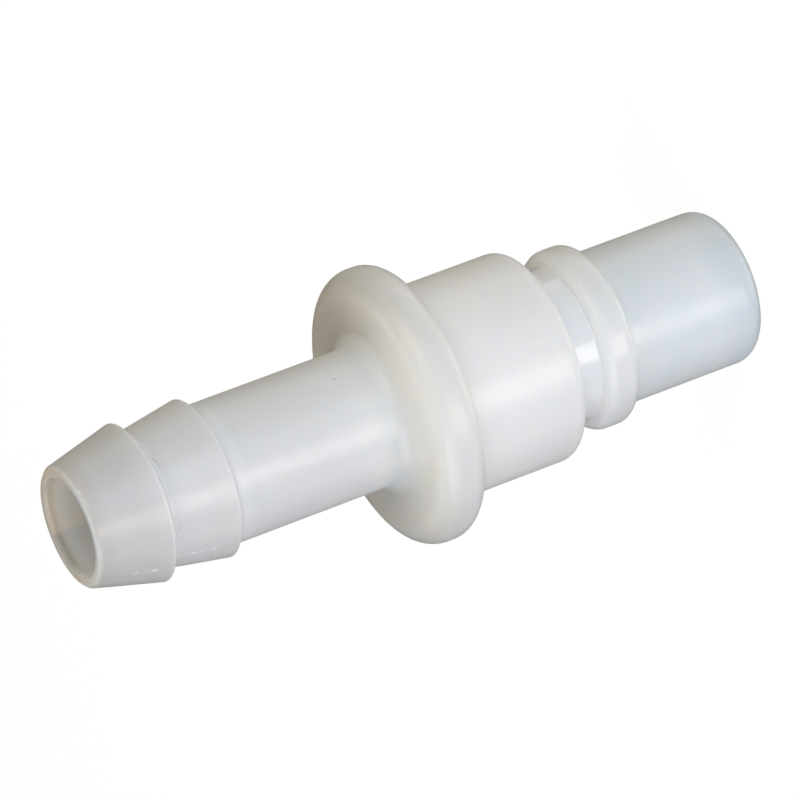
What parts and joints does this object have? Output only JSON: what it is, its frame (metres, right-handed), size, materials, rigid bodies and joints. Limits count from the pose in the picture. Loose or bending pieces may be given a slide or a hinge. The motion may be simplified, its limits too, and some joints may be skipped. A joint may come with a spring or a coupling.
{
  "type": "hose tail plug",
  "caption": "One-piece moulded plug: barbed hose tail, round stop flange, plain body, catch groove and lock ring, and a plain nose, with a bore right through.",
  "frame": {"origin": "centre of the nose's end face, which the plug stands on", "axes": "+Z along the bore axis, from the nose up to the hose end; the plug is round about Z, so X and Y are free"},
  "size_m": [0.0186, 0.0186, 0.0483],
  "materials": {
    "natural_plastic": "satin, milky white, slightly translucent, as undyed acetal"
  },
  "bodies": {
    "root": {"hose_tail_plug": "natural_plastic"}
  },
  "joints": []
}
